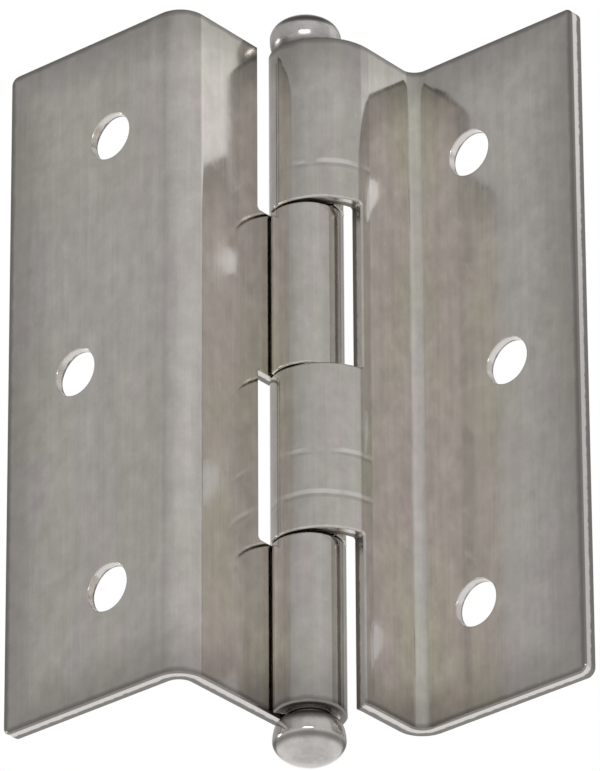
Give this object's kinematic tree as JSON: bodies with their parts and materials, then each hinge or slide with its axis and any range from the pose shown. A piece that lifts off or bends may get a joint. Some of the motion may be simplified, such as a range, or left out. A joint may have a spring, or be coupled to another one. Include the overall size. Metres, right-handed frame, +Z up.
{
  "type": "cranked hinge",
  "caption": "Cranked hinge of folded sheet steel: offset leaves with rolled knuckles turn on a pin with domed heads, and countersunk screw holes fix the flanges.",
  "frame": {"origin": "on the fixed leaf's mounting face, midway between its outer screw holes", "axes": "+Z up the pin; -Y out of the mounting faces, towards the wood; +X along the flanges, from the fixed leaf towards the moving one as shown open"},
  "size_m": [0.0444, 0.0234, 0.0714],
  "materials": {
    "leaf_steel": "bright rolled sheet, lightly brushed along the pin",
    "pin_steel": "smooth formed heads with a dull shine"
  },
  "bodies": {
    "fixed": {"fixed_leaf": "leaf_steel", "hinge_pin": "pin_steel"},
    "moving": {"moving_leaf": "leaf_steel"}
  },
  "joints": [
    {"name": "leaf_swing", "type": "hinge", "parent": "fixed", "child": "moving", "pos_m": [0.0101, 0.01395, 0], "axis": [0, 0, 1], "range_deg": [-95, 180]}
  ]
}
